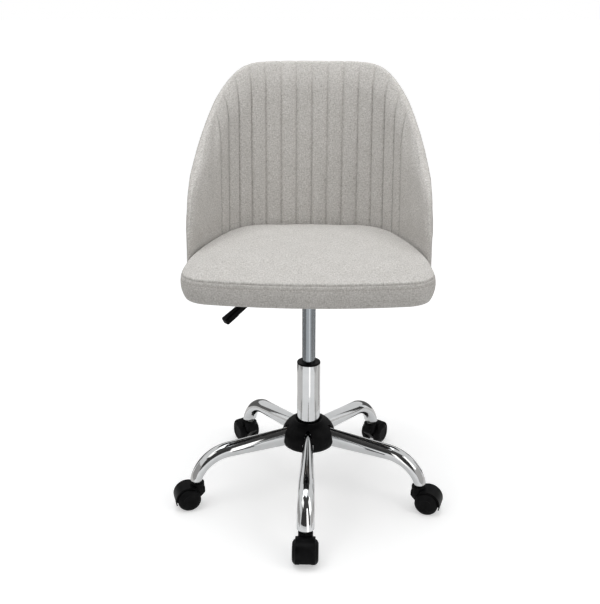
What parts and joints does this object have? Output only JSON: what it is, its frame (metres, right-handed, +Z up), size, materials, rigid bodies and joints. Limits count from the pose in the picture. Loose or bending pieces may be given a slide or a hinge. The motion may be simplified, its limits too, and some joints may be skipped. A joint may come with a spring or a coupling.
{
  "type": "swivel task chair",
  "caption": "Armless swivel task chair with an upholstered seat, a low channelled wrap-around back, a gas height lift and a chrome star base on hooded casters.",
  "frame": {"origin": "on the floor, under the axis of the gas lift column", "axes": "+Z up; -Y is the way the sitter faces; +X is the sitter's left, so the lift lever is on -X"},
  "size_m": [0.585, 0.6003, 0.9098],
  "materials": {
    "chrome": "bright chrome plate",
    "grey_cylinder": "satin grey",
    "black_plastic": "fine-grained black moulding",
    "wheel_plastic": "satin black nylon",
    "bright_steel": "zinc-plated steel",
    "black_steel": "black powder coat",
    "plywood": "raw birch plywood",
    "upholstery": "warm light grey linen weave",
    "dust_cloth": "black non-woven cloth",
    "rubber": "black rubber"
  },
  "bodies": {
    "base": {"base_hub": "chrome", "hub_cover": "black_plastic", "leg_1": "chrome", "leg_2": "chrome", "leg_3": "chrome", "leg_4": "chrome", "leg_5": "chrome", "caster_sockets": "chrome", "caster_stems": "bright_steel", "column_tube": "chrome", "guide_bush": "black_plastic", "bearing_lower_race": "bright_steel", "bearing_cage": "black_plastic", "bearing_balls": "bright_steel"},
    "lift_rod": {"piston_rod": "bright_steel", "piston": "bright_steel", "rod_clip": "bright_steel", "bearing_upper_race": "bright_steel", "bump_stop": "rubber"},
    "seat": {"gas_cylinder": "grey_cylinder", "cylinder_gland": "bright_steel", "seat_plate": "black_steel", "mechanism_pan": "black_steel", "taper_cup": "black_steel", "lever_clevis": "black_steel", "lever_pin": "bright_steel", "seat_board": "plywood", "seat_cushion": "upholstery", "dust_cover": "dust_cloth", "tee_nuts": "bright_steel", "seat_bolts": "bright_steel", "back_shell": "plywood", "back_bracket_left": "black_steel", "back_bracket_right": "black_steel", "bracket_bolts": "bright_steel", "back_screws": "bright_steel", "back_jacket": "upholstery"},
    "lever": {"lever_bar": "bright_steel", "lever_handle": "black_plastic"},
    "valve": {"valve_button": "bright_steel"},
    "caster_1": {"caster_1_body": "black_plastic", "caster_1_axle": "bright_steel"},
    "caster_1_left": {"caster_1_wheel_left": "wheel_plastic"},
    "caster_1_right": {"caster_1_wheel_right": "wheel_plastic"},
    "caster_2": {"caster_2_body": "black_plastic", "caster_2_axle": "bright_steel"},
    "caster_2_left": {"caster_2_wheel_left": "wheel_plastic"},
    "caster_2_right": {"caster_2_wheel_right": "wheel_plastic"},
    "caster_3": {"caster_3_body": "black_plastic", "caster_3_axle": "bright_steel"},
    "caster_3_left": {"caster_3_wheel_left": "wheel_plastic"},
    "caster_3_right": {"caster_3_wheel_right": "wheel_plastic"},
    "caster_4": {"caster_4_body": "black_plastic", "caster_4_axle": "bright_steel"},
    "caster_4_left": {"caster_4_wheel_left": "wheel_plastic"},
    "caster_4_right": {"caster_4_wheel_right": "wheel_plastic"},
    "caster_5": {"caster_5_body": "black_plastic", "caster_5_axle": "bright_steel"},
    "caster_5_left": {"caster_5_wheel_left": "wheel_plastic"},
    "caster_5_right": {"caster_5_wheel_right": "wheel_plastic"}
  },
  "joints": [
    {"name": "seat_swivel", "type": "hinge", "parent": "base", "child": "lift_rod", "pos_m": [0, 0, 0], "axis": [0, 0, 1], "continuous": true},
    {"name": "height_adjust", "type": "slide", "parent": "lift_rod", "child": "seat", "axis": [0, 0, 1], "range_m": [-0.12, 0]},
    {"name": "lever_lift", "type": "hinge", "parent": "seat", "child": "lever", "pos_m": [-0.028, 0, 0.49505], "axis": [0, 1, 0], "range_deg": [0, 6.6], "stiffness_Nm_per_rad": 8},
    {"name": "valve_press", "type": "slide", "parent": "seat", "child": "valve", "axis": [0, 0, -1], "range_m": [0, 0.0037], "stiffness_N_per_m": 400},
    {"name": "caster_1_swivel", "type": "hinge", "parent": "base", "child": "caster_1", "pos_m": [0, -0.251, 0.0575], "axis": [0, 0, 1], "continuous": true},
    {"name": "caster_1_left_roll", "type": "hinge", "parent": "caster_1", "child": "caster_1_left", "pos_m": [0, -0.272, 0.025], "axis": [1, 0, 0], "continuous": true},
    {"name": "caster_1_right_roll", "type": "hinge", "parent": "caster_1", "child": "caster_1_right", "pos_m": [0, -0.272, 0.025], "axis": [1, 0, 0], "continuous": true},
    {"name": "caster_2_swivel", "type": "hinge", "parent": "base", "child": "caster_2", "pos_m": [0.23872, -0.07756, 0.0575], "axis": [0, 0, 1], "continuous": true},
    {"name": "caster_2_left_roll", "type": "hinge", "parent": "caster_2", "child": "caster_2_left", "pos_m": [0.25869, -0.08405, 0.025], "axis": [0.309, 0.9511, 0], "continuous": true},
    {"name": "caster_2_right_roll", "type": "hinge", "parent": "caster_2", "child": "caster_2_right", "pos_m": [0.25869, -0.08405, 0.025], "axis": [0.309, 0.9511, 0], "continuous": true},
    {"name": "caster_3_swivel", "type": "hinge", "parent": "base", "child": "caster_3", "pos_m": [0.14753, 0.20306, 0.0575], "axis": [0, 0, 1], "continuous": true},
    {"name": "caster_3_left_roll", "type": "hinge", "parent": "caster_3", "child": "caster_3_left", "pos_m": [0.15988, 0.22005, 0.025], "axis": [-0.809, 0.5878, 0], "continuous": true},
    {"name": "caster_3_right_roll", "type": "hinge", "parent": "caster_3", "child": "caster_3_right", "pos_m": [0.15988, 0.22005, 0.025], "axis": [-0.809, 0.5878, 0], "continuous": true},
    {"name": "caster_4_swivel", "type": "hinge", "parent": "base", "child": "caster_4", "pos_m": [-0.14753, 0.20306, 0.0575], "axis": [0, 0, 1], "continuous": true},
    {"name": "caster_4_left_roll", "type": "hinge", "parent": "caster_4", "child": "caster_4_left", "pos_m": [-0.15988, 0.22005, 0.025], "axis": [-0.809, -0.5878, 0], "continuous": true},
    {"name": "caster_4_right_roll", "type": "hinge", "parent": "caster_4", "child": "caster_4_right", "pos_m": [-0.15988, 0.22005, 0.025], "axis": [-0.809, -0.5878, 0], "continuous": true},
    {"name": "caster_5_swivel", "type": "hinge", "parent": "base", "child": "caster_5", "pos_m": [-0.23872, -0.07756, 0.0575], "axis": [0, 0, 1], "continuous": true},
    {"name": "caster_5_left_roll", "type": "hinge", "parent": "caster_5", "child": "caster_5_left", "pos_m": [-0.25869, -0.08405, 0.025], "axis": [0.309, -0.9511, 0], "continuous": true},
    {"name": "caster_5_right_roll", "type": "hinge", "parent": "caster_5", "child": "caster_5_right", "pos_m": [-0.25869, -0.08405, 0.025], "axis": [0.309, -0.9511, 0], "continuous": true}
  ],
  "couplings": [
    {"joint": "valve_press", "follows": "lever_lift", "m_per_rad": 0.0321}
  ]
}
